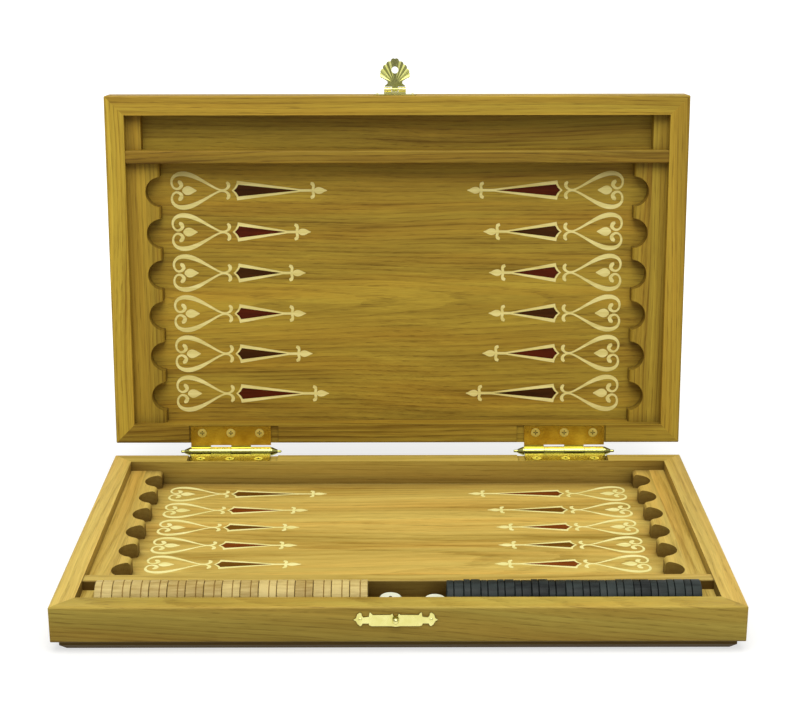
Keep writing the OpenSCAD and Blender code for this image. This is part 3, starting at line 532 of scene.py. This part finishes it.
draught_row("light_draughts", gap=0.35 * MM, uneven=0.012, turned=[0], wood=beech)
draught_row("dark_draughts", gap=0.15 * MM, uneven=0.03, turned=range(DRAUGHTS), wood=black_stain)

# The dice's pips: thin black caps that lie in the dimples of the CAD dice.
PIPS = {
    1: [(0, 0)], 2: [(-1, -1), (1, 1)], 3: [(-1, -1), (0, 0), (1, 1)],
    4: [(-1, -1), (-1, 1), (1, -1), (1, 1)], 5: [(-1, -1), (-1, 1), (0, 0), (1, -1), (1, 1)],
    6: [(-1, -1), (-1, 0), (-1, 1), (1, -1), (1, 0), (1, 1)],
}
# The tip and the turn, in degrees, that bring the top face's pips to each face.
FACES = {1: (0, 0), 2: (90, 0), 3: (90, 90), 4: (90, 270), 5: (90, 180), 6: (180, 0)}
# How finely a pip's cap is drawn, and how far it lies above its dimple.
PIP_RINGS = 4
PIP_AROUND = 20
PIP_LIFT = 0.04 * MM
# The ball that cuts a dimple: its radius as a share of the die, and how far above the face its centre
# lies as a share of that radius. Then the share of the dimple's width that a cap fills.
BALL_SHARE = 0.1
BALL_RISE = 0.7
PIP_FIT = 0.985


def pip_cap(mesh, middle, facing, size, u, w):
    """One pip's cap, at u and w quarters of the die's size from the middle of the face it is turned to."""
    ball = BALL_SHARE * size
    rise = BALL_RISE * ball
    open_r = math.sqrt(ball * ball - rise * rise) * PIP_FIT
    rings = []
    for i in range(PIP_RINGS + 1):
        r = open_r * i / PIP_RINGS
        depth = size / 2 + rise - math.sqrt(ball * ball - r * r) + PIP_LIFT
        ring = []
        for k in range(PIP_AROUND if i else 1):
            a = FULL_TURN * k / PIP_AROUND
            place = Vector((u * size / 4 + r * math.cos(a), w * size / 4 + r * math.sin(a), depth))
            ring.append(mesh.verts.new(middle + (facing @ place)))
        rings.append(ring)
    for k in range(PIP_AROUND):
        j = (k + 1) % PIP_AROUND
        mesh.faces.new((rings[0][0], rings[1][k], rings[1][j]))
        for i in range(1, PIP_RINGS):
            mesh.faces.new((rings[i][k], rings[i + 1][k], rings[i + 1][j], rings[i][j]))


def pips(name, material):
    low, high = (Vector(c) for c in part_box(name))
    middle = (low + high) / 2
    mesh = bmesh.new()
    for face, spots in PIPS.items():
        tip, turn = FACES[face]
        facing = Matrix.Rotation(math.radians(turn), 4, "Z") @ Matrix.Rotation(math.radians(tip), 4, "X")
        for u, w in spots:
            pip_cap(mesh, middle, facing, high.z - low.z, u, w)
    o = link_mesh(name + "_pips", mesh, material)
    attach(o, name)


bone = ivory()
black = ink()
for name in ("left_die", "right_die"):
    dress(name, bone)
    pips(name, black)

# The studio: floor, sky and lights. The floor glows in the picture, less near the box's front than far
# away, and the sky lights the scene, less from the horizon than from overhead.
FLOOR_SIZE = 12.0
FLOOR_DROP = 0.2 * MM
FLOOR_NEAR = 0.64
FLOOR_FAR = 1.0
BOX_FRONT = (0.0, -0.16, 0.0)
SKY_LOW = 0.16
SKY_HIGH = 0.62


def pale_floor():
    """A plain pale floor that takes the box's shadow and glows up to white away from it."""
    s = Shader("pale_floor")
    s.surface("Base Color", (0.42, 0.42, 0.41, 1.0))
    s.surface("Roughness", 0.9)
    s.surface("Specular IOR Level", 0.1)
    away = s.add("ShaderNodeVectorMath", {"operation": "DISTANCE"})
    s.put(away.inputs[0], s.place())
    s.put(away.inputs[1], BOX_FRONT)
    spread = s.add("ShaderNodeMapRange", Value=away.outputs["Value"], From_Min=0.35, From_Max=0.9,
                   To_Min=FLOOR_NEAR, To_Max=FLOOR_FAR).outputs[0]
    path = s.add("ShaderNodeLightPath").outputs
    mirrored = s.math("MAXIMUM", path["Is Glossy Ray"], path["Is Transmission Ray"])
    seen = s.math("MAXIMUM", path["Is Camera Ray"], mirrored)
    glow = s.add("ShaderNodeEmission", Color=WHITE, Strength=s.times(seen, spread))
    both = s.add("ShaderNodeAddShader")
    s.put(both.inputs[0], s.bsdf.outputs[0])
    s.put(both.inputs[1], glow.outputs[0])
    s.put(s.tree.nodes["Material Output"].inputs["Surface"], both.outputs[0])
    return s.material


bpy.ops.mesh.primitive_plane_add(size=FLOOR_SIZE, location=(0.0, 0.0, -FLOOR_DROP))
floor = bpy.context.active_object
floor.name = "floor"
floor.data.materials.append(pale_floor())

world = bpy.data.worlds.new("studio")
bpy.context.scene.world = world
world.use_nodes = True
sky = world.node_tree


def sky_node(kind, settings=None, links=None, **values):
    node = sky.nodes.new(kind)
    for key, value in (settings or {}).items():
        setattr(node, key, value)
    for key, value in (links or {}).items():
        sky.links.new(value, node.inputs[key])
    for key, value in values.items():
        node.inputs[key.replace("_", " ")].default_value = value
    return node.outputs


def light_sky():
    """White light, dim at the horizon and brighter overhead, but full where the camera sees it.

    Reflections see it full as well, where they show the studio's rear.
    """
    axes = sky_node("ShaderNodeSeparateXYZ", links={0: sky_node("ShaderNodeTexCoord")["Generated"]})
    height = sky_node("ShaderNodeMapRange", links={0: axes[2]}, From_Min=0.0, From_Max=0.9,
                      To_Min=SKY_LOW, To_Max=SKY_HIGH)
    rear = sky_node("ShaderNodeMapRange", links={0: axes[1]}, From_Min=-0.1, From_Max=0.35,
                    To_Min=0.0, To_Max=1.0)
    path = sky_node("ShaderNodeLightPath")
    mirror = sky_node("ShaderNodeMath", {"operation": "MAXIMUM"},
                      {0: path["Is Glossy Ray"], 1: path["Is Transmission Ray"]})
    behind = sky_node("ShaderNodeMath", {"operation": "MULTIPLY"}, {0: mirror[0], 1: rear[0]})
    seen = sky_node("ShaderNodeMath", {"operation": "MAXIMUM"}, {0: path["Is Camera Ray"], 1: behind[0]})
    level = sky_node("ShaderNodeMix", {"data_type": "FLOAT"}, {0: seen[0], 2: height[0]}, B=1.0)
    background = sky.nodes["Background"]
    sky.links.new(level[0], background.inputs["Strength"])
    background.inputs["Color"].default_value = WHITE


def softbox(name, place, aim, size, power):
    data = bpy.data.lights.new(name, "AREA")
    data.shape = "RECTANGLE"
    data.size = size[0]
    data.size_y = size[1]
    data.energy = power
    data.color = (1.0, 0.99, 0.95)
    o = bpy.data.objects.new(name, data)
    bpy.context.scene.collection.objects.link(o)
    o.location = place
    o.rotation_euler = (Vector(aim) - Vector(place)).to_track_quat("-Z", "Y").to_euler()


light_sky()
softbox("top_light", place=(0.0, -0.90, 1.78), aim=(0.0, 0.05, 0.1), size=(1.3, 1.4), power=29.0)
softbox("front_light", place=(0.2, -2.0, 1.2), aim=(0.0, 0.1, 0.15), size=(1.8, 1.2), power=0.8)

# The camera, fitted to the photo from the box's edges.
PHOTO_WIDTH = 800
PHOTO_HEIGHT = 719
FOCAL_PIXELS = 1679.4
SHIFT_PIXELS = 2.0
SENSOR_WIDTH = 36.0
PITCH = math.radians(17.571)
YAW = math.radians(-0.069)
ROLL = math.radians(-0.07)
CAMERA_PLACE = (-1.2 * MM, -1240 * MM, 566.3 * MM)

swing = Matrix.Rotation(YAW, 3, "Z")
forward = swing @ Vector((0.0, math.cos(PITCH), -math.sin(PITCH)))
level_right = swing @ Vector((1.0, 0.0, 0.0))
level_up = level_right.cross(forward)
right = math.cos(ROLL) * level_right + math.sin(ROLL) * level_up
up = math.cos(ROLL) * level_up - math.sin(ROLL) * level_right
lens = bpy.data.cameras.new("camera")
lens.sensor_fit = "HORIZONTAL"
lens.sensor_width = SENSOR_WIDTH
lens.lens = FOCAL_PIXELS * SENSOR_WIDTH / PHOTO_WIDTH
lens.shift_x = SHIFT_PIXELS / PHOTO_WIDTH
lens.clip_start = 0.05
lens.clip_end = 50.0
camera = bpy.data.objects.new("camera", lens)
bpy.context.scene.collection.objects.link(camera)
turned_to = Matrix((right, up, -forward)).transposed().to_4x4()
camera.matrix_world = Matrix.Translation(CAMERA_PLACE) @ turned_to
scene = bpy.context.scene
scene.camera = camera
scene.render.resolution_x = PHOTO_WIDTH
scene.render.resolution_y = PHOTO_HEIGHT
scene.view_settings.view_transform = "Standard"
